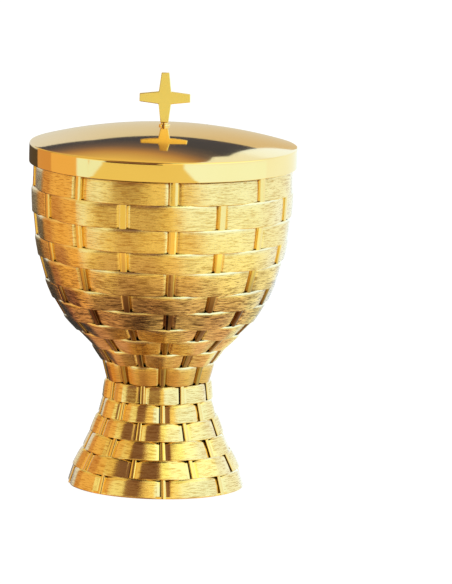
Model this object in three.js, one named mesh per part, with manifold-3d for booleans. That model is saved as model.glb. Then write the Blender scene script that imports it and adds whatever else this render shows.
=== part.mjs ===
// A covered ciborium of gilt brass: a woven cup on a flared woven foot, with a shallow polished lid
// that carries a small cross. Millimetres, +Z up. The origin is the centre of the foot's base, and
// -Y is the front.
import * as THREE from 'three';
import { mergeVertices } from 'three/addons/utils/BufferGeometryUtils.js';
import Module from 'manifold-3d';

const wasm = await Module();
wasm.setup();

// Overall sizes
const LID_DIAMETER = 112.5;
const TOTAL_HEIGHT = 174.5;
const FOOT_HEIGHT = 45;
const WEAVE_TOP = 136;

// The lid's dome and skirt
const DOME_TOP = 152.1;
const DOME_BEND_RADIUS = 204;
const LID_WALL = 1;
const LID_EDGE_RADIUS = 0.4;

// The ring under the lid that centres it in the cup's mouth
const LOCATING_CLEARANCE = 0.6;
const LOCATING_WALL = 0.9;
const LOCATING_BOTTOM = 137.5;

// The outer wall of the cup as two curves, and of the foot as one curve and its rounded edge.
// Each point is a radius and a height. They run down the middle of the weave's relief.
const CUP_WALL = [
  [[54.3, WEAVE_TOP], [55.4, 112.3], [51.6, 83.8], [37.3, 68.4]],
  [[37.3, 68.4], [34.8, 65.7], [21.7, 56.8], [21.6, FOOT_HEIGHT]],
];
const FOOT_WALL = [
  [[21.9, FOOT_HEIGHT], [22.1, 33], [28.5, 20], [37, 3.5]],
  [[37, 3.5], [37.3, 2.8], [37.3, 1.9], [37.1, 1.2]],
];
const FOOT_BASE_RADIUS = 36.4;

// The basket weave: upright stakes, and rows of flat strips that pass over and under them.
// Each list gives the widths of the strips from the top down.
const STAKES = 16;
const FIRST_STAKE_ANGLE = THREE.MathUtils.degToRad(5.5);
const CUP_STRIPS = [9.9, 10.5, 9.8, 8.6, 10.5, 8.3, 8.9, 8.2, 9.2, 7.5, 8.6];
const FOOT_STRIPS = [7.6, 7.7, 7.8, 8.1, 8.2, 7.4];
const STRIP_SWING = 0.7;
const STRIP_GAP = 0.3;
const STAKE_WIDTH_AT_RIM = 3.6;
const STAKE_WIDTH_AT_NECK = 2.4;
const STAKE_WIDTH_AT_FOOT = 2.6;
const STAKE_GROOVE_SHARE = 0.32;
const STAKE_GROOVE_DEPTH = 1.1;
const STAKE_CREST = 0.1;

// Walls and floors under the weave
const WOVEN_WALL = 2.1;
const CUP_RIM_TOP = 142.4;
const CUP_FLOOR = 3;
const FOOT_FLOOR = 2.5;

// The smooth cup inside
const LINER_GAP = 0.4;
const LINER_WALL = 0.8;
const LINER_LIP = 0.9;
const LINER_FLOOR = 59.2;

// The M6 tie rod that draws the cup down on the foot, and what it is screwed to
const ROD_RADIUS = 3;
const ROD_TOP = 57.5;
const ROD_BOTTOM = 33.5;
const BOSS_RADIUS = 12;
const BOSS_HEIGHT = 10;
const FOOT_WASHER_RADIUS = 11;
const FOOT_WASHER_THICKNESS = 1.5;
const FOOT_NUT_ACROSS_FLATS = 10;
const FOOT_NUT_HEIGHT = 5;

// The M3 stud that holds the cross, its collar, and its washer and cap nut
const POST_RADIUS = 1.5;
const POST_END_CLEARANCE = 0.5;
const COLLAR_RADIUS = 2.4;
const COLLAR_HEIGHT = 1.4;
const COLLAR_ROUND = 0.4;
const LID_WASHER_RADIUS = 4.5;
const LID_WASHER_THICKNESS = 0.8;
const LID_NUT_ACROSS_FLATS = 5.5;
const LID_NUT_HEX_HEIGHT = 2.6;
const LID_NUT_CAP_RADIUS = 2.6;
const LID_NUT_CAP_HEIGHT = 2.4;

// The cross: a flat plate with arms that taper outwards
const CROSS_SPAN = 21.3;
const CROSS_ARM_HEIGHT = 163.9;
const CROSS_THICKNESS = 1.8;
const CROSS_END_HALF_WIDTH = 1.7;
const CROSS_MIDDLE_HALF_WIDTH = 2.65;

// Clearances round threads and through holes, at the liner's lip, and at the brazed locating ring.
// A piece that cuts a hole runs a little past the faces that it goes through.
const THREAD_GAP = 0.15;
const HOLE_GAP = 0.3;
const LIP_SEAT_GAP = 0.1;
const BRAZE_GAP = 0.25;
const CUT_PAST = 1;

// Round pieces are turned with this many flats, small ones with fewer. An inner wall has a ring of
// points at each of these stations along its outer wall, and a curved outline has these steps.
const FLATS = 48;
const SMALL_FLATS = 24;
const WALL_STATIONS = 12;
const LINER_TURN_STATION = 9;
const LINER_FLOOR_STEPS = 5;
const DOME_STEPS_OUTSIDE = 6;
const DOME_STEPS_INSIDE = 4;
const CAP_STEPS = 3;

// Finishes
const mirrorGold = new THREE.MeshStandardMaterial({ color: 0xe3b04b, metalness: 1, roughness: 0.08 });
const satinGold = new THREE.MeshStandardMaterial({ color: 0xe0a93a, metalness: 1, roughness: 0.32 });
const plainBrass = new THREE.MeshStandardMaterial({ color: 0xc9a04f, metalness: 1, roughness: 0.4 });

function curve([start, pull, push, end]) {
  const points = [start, pull, push, end].map(([radius, height]) => new THREE.Vector2(radius, height));
  return new THREE.CubicBezierCurve(...points);
}

function wall(curves) {
  const path = new THREE.CurvePath();
  curves.forEach((points) => path.add(curve(points)));
  return path;
}

// The point at a fraction of a wall's length, moved out by a distance square to the wall.
function offWall(path, fraction, out) {
  const point = path.getPointAt(fraction);
  const along = path.getTangentAt(fraction);
  return [point.x - out * along.y, point.y + out * along.x];
}

// An inner wall, from a station up to another, at a distance inside the outer wall.
function innerWall(path, inset, lowStation, highStation) {
  return Array.from({ length: lowStation - highStation + 1 }, (_, i) => (
    offWall(path, (lowStation - i) / WALL_STATIONS, -inset)
  ));
}

function meshGeometry(positions, triangles) {
  const geometry = new THREE.BufferGeometry();
  geometry.setAttribute('position', new THREE.Float32BufferAttribute(positions, 3));
  geometry.setIndex(triangles);
  return geometry;
}

function bare(geometry) {
  geometry.deleteAttribute('normal');
  geometry.deleteAttribute('uv');
  return mergeVertices(geometry, 1e-4);
}

// A piece turned on the lathe. Its outline is a list of radii and heights that goes up the outside
// and down the inside, and closes on itself or on the axis.
function turned(outline, flats = FLATS) {
  const points = outline.map(([radius, height]) => new THREE.Vector2(radius, height));
  return bare(new THREE.LatheGeometry(points, flats).rotateX(Math.PI / 2));
}

function closed(outline) {
  return [...outline, outline[0]];
}

function ring(inner, outer, bottom, top, flats) {
  return turned(closed([[outer, bottom], [outer, top], [inner, top], [inner, bottom]]), flats);
}

function rod(radius, bottom, top, flats) {
  return turned([[0, bottom], [radius, bottom], [radius, top], [0, top]], flats);
}

function hexPrism(acrossFlats, bottom, top) {
  const prism = new THREE.CylinderGeometry(1, 1, top - bottom, 6);
  const cornerRadius = acrossFlats / Math.sqrt(3);
  prism.rotateX(Math.PI / 2).scale(cornerRadius, cornerRadius, 1).translate(0, 0, (bottom + top) / 2);
  return bare(prism);
}

function toSolid(geometry) {
  const vertProperties = new Float32Array(geometry.attributes.position.array);
  const triVerts = new Uint32Array(geometry.index.array);
  return new wasm.Manifold(new wasm.Mesh({ numProp: 3, vertProperties, triVerts }));
}

function fromSolid(solid) {
  const { vertProperties, triVerts } = solid.getMesh();
  return meshGeometry(vertProperties, Array.from(triVerts));
}

function cut(geometry, ...cutters) {
  return fromSolid(cutters.reduce((rest, cutter) => rest.subtract(toSolid(cutter)), toSolid(geometry)));
}

function join(first, second) {
  return fromSolid(toSolid(first).add(toSolid(second)));
}

// One ring of the weave, at a fraction of the wall's length. At each stake it has six points: the
// two strip ends, the two grooves and the crest of the stake, and the middle of the next strip.
// Where the strip passes over the stake it swells instead. Row counts from the cup's rim.
function weaveRing(path, fraction, row, stakeWidth) {
  const radius = path.getPointAt(fraction).x;
  const half = stakeWidth / 2 / radius;
  const groove = (stakeWidth * STAKE_GROOVE_SHARE) / radius;
  const pitch = (2 * Math.PI) / STAKES;
  const shownStake = [
    [-half - groove, -STRIP_SWING],
    [-half, -STAKE_GROOVE_DEPTH],
    [0, STAKE_CREST],
    [half, -STAKE_GROOVE_DEPTH],
    [half + groove, -STRIP_SWING],
    [pitch / 2, 0],
  ];
  const points = [];
  for (let stake = 0; stake < STAKES; stake++) {
    const shown = (row + stake) % 2 === 0;
    for (const [turn, depth] of shownStake) {
      const out = shown ? depth : STRIP_SWING * Math.cos((turn * STAKES) / 2);
      const [r, z] = offWall(path, fraction, out);
      const angle = FIRST_STAKE_ANGLE + stake * pitch + turn;
      points.push([r * Math.sin(angle), -r * Math.cos(angle), z]);
    }
  }
  return points;
}

// All the rings of a woven wall, two for each strip, from the top down.
function weaveRings(path, stripWidths, firstRow, stakeWidthTop, stakeWidthBottom) {
  const total = stripWidths.reduce((sum, width) => sum + width, 0);
  const rings = [];
  let reached = 0;
  stripWidths.forEach((width, index) => {
    const start = (reached + STRIP_GAP / 2) / total;
    const end = (reached + width - STRIP_GAP / 2) / total;
    for (const fraction of [start, end]) {
      const stakeWidth = THREE.MathUtils.lerp(stakeWidthTop, stakeWidthBottom, fraction);
      rings.push(weaveRing(path, fraction, firstRow + index, stakeWidth));
    }
    reached += width;
  });
  return rings;
}

// The same directions as a ring of the weave, on a plain circle.
function plainRing(like, radius, height) {
  return like.map(([x, y]) => {
    const scale = radius / Math.hypot(x, y);
    return [x * scale, y * scale, height];
  });
}

// A solid of rings from the top down, with a flat top and bottom.
function stacked(rings) {
  const count = rings[0].length;
  const positions = rings.flat(2);
  const triangles = [];
  for (let level = 0; level < rings.length - 1; level++) {
    for (let i = 0; i < count; i++) {
      const next = (i + 1) % count;
      const [a, b] = [level * count + i, level * count + next];
      const [c, d] = [a + count, b + count];
      triangles.push(a, c, b, b, c, d);
    }
  }
  const topCentre = positions.length / 3;
  const bottomCentre = topCentre + 1;
  positions.push(0, 0, rings[0][0][2], 0, 0, rings[rings.length - 1][0][2]);
  const last = (rings.length - 1) * count;
  for (let i = 0; i < count; i++) {
    const next = (i + 1) % count;
    triangles.push(topCentre, i, next, bottomCentre, last + next, last + i);
  }
  return meshGeometry(positions, triangles);
}

// The height of a dome at a radius, where the dome's top and bend are the outer face's, less a depth.
function domeHeight(radius, depth = 0) {
  const bend = DOME_BEND_RADIUS - depth;
  return DOME_TOP - DOME_BEND_RADIUS + Math.sqrt(bend * bend - radius * radius);
}

function domeArc(fromRadius, toRadius, depth, steps) {
  return Array.from({ length: steps + 1 }, (_, i) => {
    const radius = THREE.MathUtils.lerp(fromRadius, toRadius, i / steps);
    return [radius, domeHeight(radius, depth)];
  });
}

const ciborium = new THREE.Group();
const lid = new THREE.Group();
const cup = new THREE.Group();
ciborium.add(lid, cup);

function add(group, name, geometry, material) {
  const mesh = new THREE.Mesh(geometry, material);
  mesh.name = name;
  group.add(mesh);
}

// Lid shell: a shallow dome spun in one with its plain skirt, which goes down over the cup's rim.
// Under the middle it has a flat seat for the washer.
const lidRadius = LID_DIAMETER / 2;
const lidEdgeHeight = domeHeight(lidRadius - LID_EDGE_RADIUS);
const lidWasherTop = domeHeight(LID_WASHER_RADIUS, LID_WALL);
const postHoleRadius = POST_RADIUS + HOLE_GAP;
add(lid, 'lid_shell', turned(closed([
  [lidRadius - LID_EDGE_RADIUS, WEAVE_TOP],
  [lidRadius, WEAVE_TOP + LID_EDGE_RADIUS],
  [lidRadius, lidEdgeHeight - LID_EDGE_RADIUS],
  ...domeArc(lidRadius - LID_EDGE_RADIUS, postHoleRadius, 0, DOME_STEPS_OUTSIDE),
  [postHoleRadius, lidWasherTop],
  ...domeArc(LID_WASHER_RADIUS, lidRadius - LID_WALL, LID_WALL, DOME_STEPS_INSIDE),
  [lidRadius - LID_WALL, WEAVE_TOP],
])), mirrorGold);

// Locating ring: a short ring brazed under the dome, which fits the liner's mouth with clearance.
const rimRadius = CUP_WALL[0][0][0];
const linerOuterTop = rimRadius - WOVEN_WALL - LINER_GAP;
const linerInnerTop = linerOuterTop - LINER_WALL;
const locatingOuter = linerInnerTop - LOCATING_CLEARANCE;
const locatingInner = locatingOuter - LOCATING_WALL;
add(lid, 'lid_locating_ring', turned(closed([
  [locatingOuter, LOCATING_BOTTOM],
  [locatingOuter, domeHeight(locatingOuter, LID_WALL) - BRAZE_GAP],
  [locatingInner, domeHeight(locatingInner, LID_WALL) - BRAZE_GAP],
  [locatingInner, LOCATING_BOTTOM],
])), plainBrass);

// Cross post: a turned collar on the dome, in one with the threaded stud that goes through it.
const collarTop = DOME_TOP + COLLAR_HEIGHT;
const lidNutTop = lidWasherTop - LID_WASHER_THICKNESS;
const lidNutShoulder = lidNutTop - LID_NUT_HEX_HEIGHT;
add(lid, 'cross_post', turned([
  [0, lidNutShoulder + POST_END_CLEARANCE],
  [POST_RADIUS, lidNutShoulder + POST_END_CLEARANCE],
  [POST_RADIUS, DOME_TOP],
  [COLLAR_RADIUS - COLLAR_ROUND, DOME_TOP],
  [COLLAR_RADIUS, DOME_TOP + COLLAR_ROUND],
  [COLLAR_RADIUS, collarTop - COLLAR_ROUND],
  [COLLAR_RADIUS - COLLAR_ROUND, collarTop],
  [0, collarTop],
], SMALL_FLATS), mirrorGold);

// Cross: one flat plate, brazed on end to the collar.
function crossPlate() {
  const span = CROSS_SPAN / 2;
  const top = TOTAL_HEIGHT - CROSS_ARM_HEIGHT;
  const bottom = collarTop - CROSS_ARM_HEIGHT;
  const end = CROSS_END_HALF_WIDTH;
  const middle = CROSS_MIDDLE_HALF_WIDTH;
  const shape = new THREE.Shape([
    [end, top], [-end, top], [-middle, middle], [-span, end], [-span, -end], [-middle, -middle],
    [-end, bottom], [end, bottom], [middle, -middle], [span, -end], [span, end], [middle, middle],
  ].map(([x, y]) => new THREE.Vector2(x, y)));
  const plate = new THREE.ExtrudeGeometry(shape, { depth: CROSS_THICKNESS, bevelEnabled: false });
  plate.translate(0, 0, -CROSS_THICKNESS / 2).rotateX(Math.PI / 2).translate(0, 0, CROSS_ARM_HEIGHT);
  return bare(plate);
}
add(lid, 'cross_finial', crossPlate(), mirrorGold);

// Washer and cap nut: inside the lid, drawing the cross down on the dome.
add(lid, 'lid_washer', ring(postHoleRadius, LID_WASHER_RADIUS, lidNutTop, lidWasherTop, SMALL_FLATS),
  plainBrass);
const capHex = hexPrism(LID_NUT_ACROSS_FLATS, lidNutShoulder, lidNutTop);
const capOutline = Array.from({ length: CAP_STEPS }, (_, i) => {
  const rise = ((CAP_STEPS - 1 - i) / CAP_STEPS) * (Math.PI / 2);
  return [LID_NUT_CAP_RADIUS * Math.cos(rise), lidNutShoulder - LID_NUT_CAP_HEIGHT * Math.sin(rise)];
});
const cap = turned([
  [0, lidNutShoulder - LID_NUT_CAP_HEIGHT],
  ...capOutline,
  [0, lidNutShoulder],
], SMALL_FLATS);
const capBore = rod(POST_RADIUS + THREAD_GAP, lidNutShoulder, lidNutTop + CUT_PAST, SMALL_FLATS);
add(lid, 'lid_cap_nut', cut(join(capHex, cap), capBore), plainBrass);

// Cup shell: the woven outer wall, with a plain rim under the lid's skirt and a floor at the neck.
const cupPath = wall(CUP_WALL);
const cupRings = weaveRings(cupPath, CUP_STRIPS, 0, STAKE_WIDTH_AT_RIM, STAKE_WIDTH_AT_NECK);
const neckRadius = CUP_WALL[1][3][0];
const cupFloorTop = FOOT_HEIGHT + CUP_FLOOR;
const footFloorBottom = FOOT_HEIGHT - FOOT_FLOOR;
const cupBody = stacked([
  plainRing(cupRings[0], rimRadius, CUP_RIM_TOP),
  plainRing(cupRings[0], rimRadius, WEAVE_TOP + STRIP_GAP),
  ...cupRings,
  plainRing(cupRings[cupRings.length - 1], neckRadius, FOOT_HEIGHT),
]);
const cupCavity = turned([
  [0, cupFloorTop],
  [neckRadius - WOVEN_WALL, cupFloorTop],
  ...innerWall(cupPath, WOVEN_WALL, WALL_STATIONS - 1, 0),
  [rimRadius - WOVEN_WALL, CUP_RIM_TOP + CUT_PAST],
  [0, CUP_RIM_TOP + CUT_PAST],
]);
const rodHole = rod(ROD_RADIUS + HOLE_GAP, footFloorBottom - CUT_PAST, cupFloorTop + CUT_PAST,
  SMALL_FLATS);
add(cup, 'cup_shell', cut(cupBody, cupCavity, rodHole), satinGold);

// Liner: the smooth cup that holds the hosts, hung in the shell by its turned-over lip.
const linerOutset = WOVEN_WALL + LINER_GAP;
const linerTurn = LINER_TURN_STATION / WALL_STATIONS;
const turnSlope = cupPath.getTangentAt(linerTurn);
const lipBottom = CUP_RIM_TOP + LIP_SEAT_GAP;

// The round floor of the liner, from the axis out to its wall.
function linerFloor(wallThickness) {
  const floor = LINER_FLOOR + wallThickness;
  const [startRadius, startHeight] = offWall(cupPath, linerTurn, -linerOutset - wallThickness);
  const drop = (startHeight - floor) / -turnSlope.y;
  const floorCurve = new THREE.QuadraticBezierCurve(
    new THREE.Vector2(0, floor),
    new THREE.Vector2(startRadius + drop * turnSlope.x, floor),
    new THREE.Vector2(startRadius, startHeight),
  );
  return floorCurve.getPoints(LINER_FLOOR_STEPS).map((point) => [point.x, point.y]);
}
add(cup, 'cup_liner', turned([
  ...linerFloor(0),
  ...innerWall(cupPath, linerOutset, LINER_TURN_STATION, 0).slice(1),
  [linerOuterTop, lipBottom],
  [rimRadius, lipBottom],
  [rimRadius, lipBottom + LINER_LIP],
  [linerInnerTop, lipBottom + LINER_LIP],
  ...innerWall(cupPath, linerOutset + LINER_WALL, LINER_TURN_STATION, 0).reverse(),
  ...linerFloor(LINER_WALL).reverse().slice(1),
]), mirrorGold);

// Neck boss: a threaded block on the cup's floor, which takes the tie rod.
add(cup, 'neck_boss', ring(ROD_RADIUS + THREAD_GAP, BOSS_RADIUS, cupFloorTop,
  cupFloorTop + BOSS_HEIGHT, SMALL_FLATS), plainBrass);

// Tie rod: runs from the boss down through the neck and the foot.
add(cup, 'tie_rod', rod(ROD_RADIUS, ROD_BOTTOM, ROD_TOP, SMALL_FLATS), plainBrass);

// Foot shell: the flared woven foot, open underneath, with a floor at the neck.
const footPath = wall(FOOT_WALL);
const footRings = weaveRings(footPath, FOOT_STRIPS, CUP_STRIPS.length, STAKE_WIDTH_AT_NECK,
  STAKE_WIDTH_AT_FOOT);
const footTopRadius = FOOT_WALL[0][0][0];
const footBaseInner = FOOT_BASE_RADIUS - WOVEN_WALL;
const footBody = stacked([
  plainRing(footRings[0], footTopRadius, FOOT_HEIGHT),
  ...footRings,
  plainRing(footRings[footRings.length - 1], FOOT_BASE_RADIUS, 0),
]);
const footHollow = turned([
  [0, -CUT_PAST],
  [footBaseInner, -CUT_PAST],
  [footBaseInner, 0],
  ...innerWall(footPath, WOVEN_WALL, WALL_STATIONS - 1, 1),
  [footTopRadius - WOVEN_WALL, footFloorBottom],
  [0, footFloorBottom],
]);
add(cup, 'foot_shell', cut(footBody, footHollow, rodHole), satinGold);

// Washer and nut under the foot's floor, which hold cup and foot together.
const footWasherBottom = footFloorBottom - FOOT_WASHER_THICKNESS;
const footNutBottom = footWasherBottom - FOOT_NUT_HEIGHT;
add(cup, 'foot_washer', ring(ROD_RADIUS + HOLE_GAP, FOOT_WASHER_RADIUS, footWasherBottom,
  footFloorBottom, SMALL_FLATS), plainBrass);
const footNutHex = hexPrism(FOOT_NUT_ACROSS_FLATS, footNutBottom, footWasherBottom);
const footNutBore = rod(ROD_RADIUS + THREAD_GAP, footNutBottom - CUT_PAST,
  footWasherBottom + CUT_PAST, SMALL_FLATS);
add(cup, 'foot_nut', cut(footNutHex, footNutBore), plainBrass);

export default ciborium;
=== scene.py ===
"""A covered ciborium of gilt brass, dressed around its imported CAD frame.

A deep cup and a flared foot, both woven of flat satin strips over polished upright stakes, are
drawn together by a tie rod. A smooth liner hangs in the cup, and a shallow mirror-polished lid
with a small cross rests on its rim. Metres, +Z up, and -Y is the front.
"""
import math

import bmesh
import bpy
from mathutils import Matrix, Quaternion, Vector
from mathutils.geometry import interpolate_bezier


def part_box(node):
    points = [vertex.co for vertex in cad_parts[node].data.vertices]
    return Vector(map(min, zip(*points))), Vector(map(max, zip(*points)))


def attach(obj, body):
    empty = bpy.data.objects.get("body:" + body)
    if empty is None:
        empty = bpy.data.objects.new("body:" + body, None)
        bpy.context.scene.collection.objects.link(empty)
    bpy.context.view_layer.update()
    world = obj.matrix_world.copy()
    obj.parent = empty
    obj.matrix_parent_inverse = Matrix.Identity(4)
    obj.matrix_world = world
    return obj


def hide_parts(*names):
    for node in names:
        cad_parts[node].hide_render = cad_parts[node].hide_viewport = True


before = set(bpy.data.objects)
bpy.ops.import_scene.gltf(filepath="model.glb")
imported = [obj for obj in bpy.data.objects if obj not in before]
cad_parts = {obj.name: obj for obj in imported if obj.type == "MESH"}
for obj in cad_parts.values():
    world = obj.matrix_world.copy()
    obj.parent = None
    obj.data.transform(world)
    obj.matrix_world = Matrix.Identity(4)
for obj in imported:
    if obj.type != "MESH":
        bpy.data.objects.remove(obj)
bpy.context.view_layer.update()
MM = 0.001


# Backing walls of the woven cup and foot: cast shells behind the weave, hollow, with a thick floor
# where the two meet. Between the strips they show as narrow gaps, painted dark brown for the shade
# there.
foot_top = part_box("foot_shell")[1].z
weave_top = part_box("lid_shell")[0].z
CUP_WALL = [
    [(54.3 * MM, weave_top), (55.4 * MM, 112.3 * MM), (51.6 * MM, 83.8 * MM),
     (37.3 * MM, 68.4 * MM)],
    [(37.3 * MM, 68.4 * MM), (34.8 * MM, 65.7 * MM), (21.7 * MM, 56.8 * MM), (21.6 * MM, foot_top)],
]
FOOT_WALL = [
    [(21.9 * MM, foot_top), (22.1 * MM, 33 * MM), (28.5 * MM, 20 * MM), (37 * MM, 3.5 * MM)],
    [(37 * MM, 3.5 * MM), (37.3 * MM, 2.6 * MM), (37.3 * MM, 1.3 * MM), (37.1 * MM, 0.4 * MM)],
]
WALL_STEPS = 24
BACKING_FACE = 1.7 * MM
BACKING_INSIDE = 2.1 * MM
CUP_FLOOR = 3 * MM
FOOT_FLOOR = 2.5 * MM
FOOT_BASE_RADIUS = 36.4 * MM
FOOT_RIM = 1.1 * MM
ROD_HOLE = 3.3 * MM
TURNED_SEGMENTS = 192
EDGE = 0.3 * MM
FINE_EDGE = 0.2 * MM
NOISE_SPAN = (0.3, 0.7)


def wall_points(curves, inset):
    """Points down a wall from its top, moved inwards square to it."""
    points = []
    for handles in curves:
        arc = interpolate_bezier(*[Vector((*handle, 0)) for handle in handles], WALL_STEPS)
        points += arc[1:] if points else arc
    moved = []
    for index, point in enumerate(points):
        ahead = points[min(index + 1, len(points) - 1)] - points[max(index - 1, 0)]
        ahead.normalize()
        moved.append((point.x + inset * ahead.y, point.y - inset * ahead.x))
    return moved


def softened(corners, steps=4):
    """An outline from corners of radius, height and, where a corner is rounded, its edge radius."""
    outline = []
    for index, (radius, height, *edge) in enumerate(corners):
        corner = Vector((radius, height))
        if not edge:
            outline.append((radius, height))
            continue
        before = (Vector(corners[index - 1][:2]) - corner).normalized()
        after = (Vector(corners[(index + 1) % len(corners)][:2]) - corner).normalized()
        half = before.angle(after) / 2
        centre = corner + (before + after).normalized() * edge[0] / math.sin(half)
        first = (corner + before * edge[0] / math.tan(half) - centre).normalized()
        last = (corner + after * edge[0] / math.tan(half) - centre).normalized()
        for step in range(steps + 1):
            outline.append(tuple(centre + first.slerp(last, step / steps) * edge[0]))
    return outline


def linked(name, data):
    """A new object in the scene."""
    made = bpy.data.objects.new(name, data)
    bpy.context.collection.objects.link(made)
    return made


def finished(name, mesh, sharp=40):
    """A piece's object from its mesh, smooth but for edges sharper than an angle in degrees."""
    mesh.shade_smooth()
    mesh.set_sharp_from_angle(angle=math.radians(sharp))
    piece = linked(name, mesh)
    weighted = piece.modifiers.new("even shading", "WEIGHTED_NORMAL")
    weighted.keep_sharp = True
    return piece


def around(count):
    """The angles of evenly spaced points round the axis."""
    return [2 * math.pi * step / count for step in range(count)]


def ring(shape, radius, height, angles):
    """New points of a shape at angles round the axis."""
    return [shape.verts.new((radius * math.cos(a), radius * math.sin(a), height)) for a in angles]


def bridge(shape, pairs):
    """Faces between pairs of rings."""
    for low, high in pairs:
        for step in range(len(low)):
            after = (step + 1) % len(low)
            corners = [low[step], low[after], high[after], high[step]]
            shape.faces.new(list(dict.fromkeys(corners)))


def shaped(name, shape, sharp=40):
    """A piece's object from its shape."""
    bmesh.ops.recalc_face_normals(shape, faces=shape.faces)
    mesh = bpy.data.meshes.new(name)
    shape.to_mesh(mesh)
    shape.free()
    return finished(name, mesh, sharp)


def turned(name, corners, segments=TURNED_SEGMENTS):
    """A turned piece. Its outline closes on itself, or starts and ends on the axis."""
    outline = softened(corners)
    shape = bmesh.new()
    rings = [ring(shape, radius, height, around(segments)) if radius
             else ring(shape, 0, height, [0]) * segments for radius, height in outline]
    closed = [] if outline[0][0] == 0 else [(rings[-1], rings[0])]
    bridge(shape, [*zip(rings, rings[1:]), *closed])
    return shaped(name, shape)


def linear(hex_colour):
    """The linear RGBA of an sRGB hex colour."""
    parts = [int(hex_colour[i:i + 2], 16) / 255 for i in (1, 3, 5)]
    return [p / 12.92 if p <= 0.04045 else ((p + 0.055) / 1.055) ** 2.4 for p in parts] + [1]


def add(tree, kind, inputs=None, **settings):
    """Adds a node. An input is a value, a socket, or a node that gives its first output."""
    node = tree.nodes.new(kind)
    for name, value in settings.items():
        setattr(node, name, value)
    for key, value in (inputs or {}).items():
        if isinstance(value, bpy.types.Node):
            value = value.outputs[0]
        if isinstance(value, bpy.types.NodeSocket):
            tree.links.new(value, node.inputs[key])
        else:
            node.inputs[key].default_value = value
    return node


def maths(tree, operation, first, *others):
    """Maths on values in their order, and by turns where the operation takes only two."""
    for group in [others] if not others or operation == "MULTIPLY_ADD" else [[o] for o in others]:
        first = add(tree, "ShaderNodeMath", dict(enumerate((first, *group))), operation=operation)
    return first


def product(tree, *values):
    """All of the values multiplied."""
    return maths(tree, "MULTIPLY", *values)


def vectors(tree, operation, *values):
    """Maths on vectors in their order."""
    return add(tree, "ShaderNodeVectorMath", dict(enumerate(values)), operation=operation)


def xyz(tree, vector):
    """The parts of a vector."""
    return add(tree, "ShaderNodeSeparateXYZ", {0: vector}).outputs


def off_axis(tree, split):
    """How far from the axis a place is, from its parts."""
    level = add(tree, "ShaderNodeCombineXYZ", {"X": split["X"], "Y": split["Y"]})
    return vectors(tree, "LENGTH", level).outputs["Value"]


def ranged(tree, value, start=(0, 1), to=(0, 1), **settings):
    """A value taken from one range to another."""
    return add(tree, "ShaderNodeMapRange", dict(enumerate((value, *start, *to))), **settings)


def blended(tree, share, first, second):
    """A blend of two colours, each of them a hex colour or a socket."""
    first, second = (linear(c) if isinstance(c, str) else c for c in (first, second))
    return add(tree, "ShaderNodeMix", {0: share, 6: first, 7: second}, data_type="RGBA").outputs[2]


def noise(tree, place, size, detail, **inputs):
    """Noise with spots of about a size."""
    return add(tree, "ShaderNodeTexNoise",
               {"Vector": place, "Scale": 1 / size, "Detail": detail, **inputs})


def bumped(tree, height, strength, depth, **inputs):
    """Fine relief of a depth."""
    return add(tree, "ShaderNodeBump",
               {"Height": height, "Strength": strength, "Distance": depth, **inputs})


def empty_material(name):
    """A material with an empty tree, and that tree."""
    made = bpy.data.materials.new(name)
    made.use_nodes = True
    made.node_tree.nodes.clear()
    return made, made.node_tree


def new_metal(name):
    """A metal's material, its empty tree, and the place on the piece."""
    made, tree = empty_material(name)
    return made, tree, add(tree, "ShaderNodeTexCoord").outputs["Object"]


def end_metal(tree, colour, rough, bump, **inputs):
    """Ends a metal's tree with its shader."""
    shader = add(tree, "ShaderNodeBsdfPrincipled", {
        "Base Color": colour, "Metallic": 1, "Roughness": rough, "Normal": bump, **inputs})
    add(tree, "ShaderNodeOutputMaterial", {"Surface": shader})


# Recessed cast gilding: thin gold on an unbuffed cast skin, painted dark brown for the shade in the
# gaps between the strips. It looks dull, deep and slightly grainy. The plain band under the lid's
# skirt is buffed bright.
RECESS_GRAIN = 0.4 * MM
BAND_FROM = weave_top - 0.3 * MM
recess_gilt_painted_shade, tree, place = new_metal("recess gilding with painted shade")
grain = noise(tree, place, RECESS_GRAIN, 4)
# Painted shade: a dark brown for the gaps, over a grainy cast finish.
tone = blended(tree, grain, "#4A2F10", "#8A6228")
rough = ranged(tree, grain, to=(0.38, 0.6))
height = xyz(tree, place)["Z"]
buffed = ranged(tree, height, (BAND_FROM, weave_top))
tone = blended(tree, buffed, tone, "#E6BC6A")
rough = ranged(tree, buffed, to=(rough, 0.2))
relief = ranged(tree, buffed, to=(0.5, 0.05))
bump = bumped(tree, grain, relief, 0.05 * MM)
end_metal(tree, tone, rough, bump)

rim_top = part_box("cup_shell")[1].z
rim_radius = CUP_WALL[0][0][0]
neck_radius = CUP_WALL[1][3][0]
cup_floor_top = foot_top + CUP_FLOOR
cup_backing = turned("cup_backing", [
    (ROD_HOLE, foot_top),
    (neck_radius - BACKING_FACE, foot_top),
    *reversed(wall_points(CUP_WALL, BACKING_FACE)[1:-1]),
    (rim_radius - BACKING_FACE, weave_top - 0.4 * MM),
    (rim_radius, weave_top + 0.3 * MM, FINE_EDGE),
    (rim_radius, rim_top, EDGE),
    (rim_radius - BACKING_INSIDE, rim_top, EDGE),
    *wall_points(CUP_WALL, BACKING_INSIDE)[:-1],
    (neck_radius - BACKING_INSIDE, cup_floor_top),
    (ROD_HOLE, cup_floor_top),
])
foot_top_radius = FOOT_WALL[0][0][0]
foot_floor_low = foot_top - FOOT_FLOOR
foot_backing = turned("foot_backing", [
    (FOOT_BASE_RADIUS - BACKING_INSIDE, FOOT_RIM),
    (FOOT_BASE_RADIUS - BACKING_FACE / 2, FOOT_RIM),
    *reversed(wall_points(FOOT_WALL, BACKING_FACE)[1:-WALL_STEPS]),
    (foot_top_radius - BACKING_FACE, foot_top),
    (ROD_HOLE, foot_top),
    (ROD_HOLE, foot_floor_low),
    (foot_top_radius - BACKING_INSIDE, foot_floor_low),
    *wall_points(FOOT_WALL, BACKING_INSIDE)[3:-WALL_STEPS],
])
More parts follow.
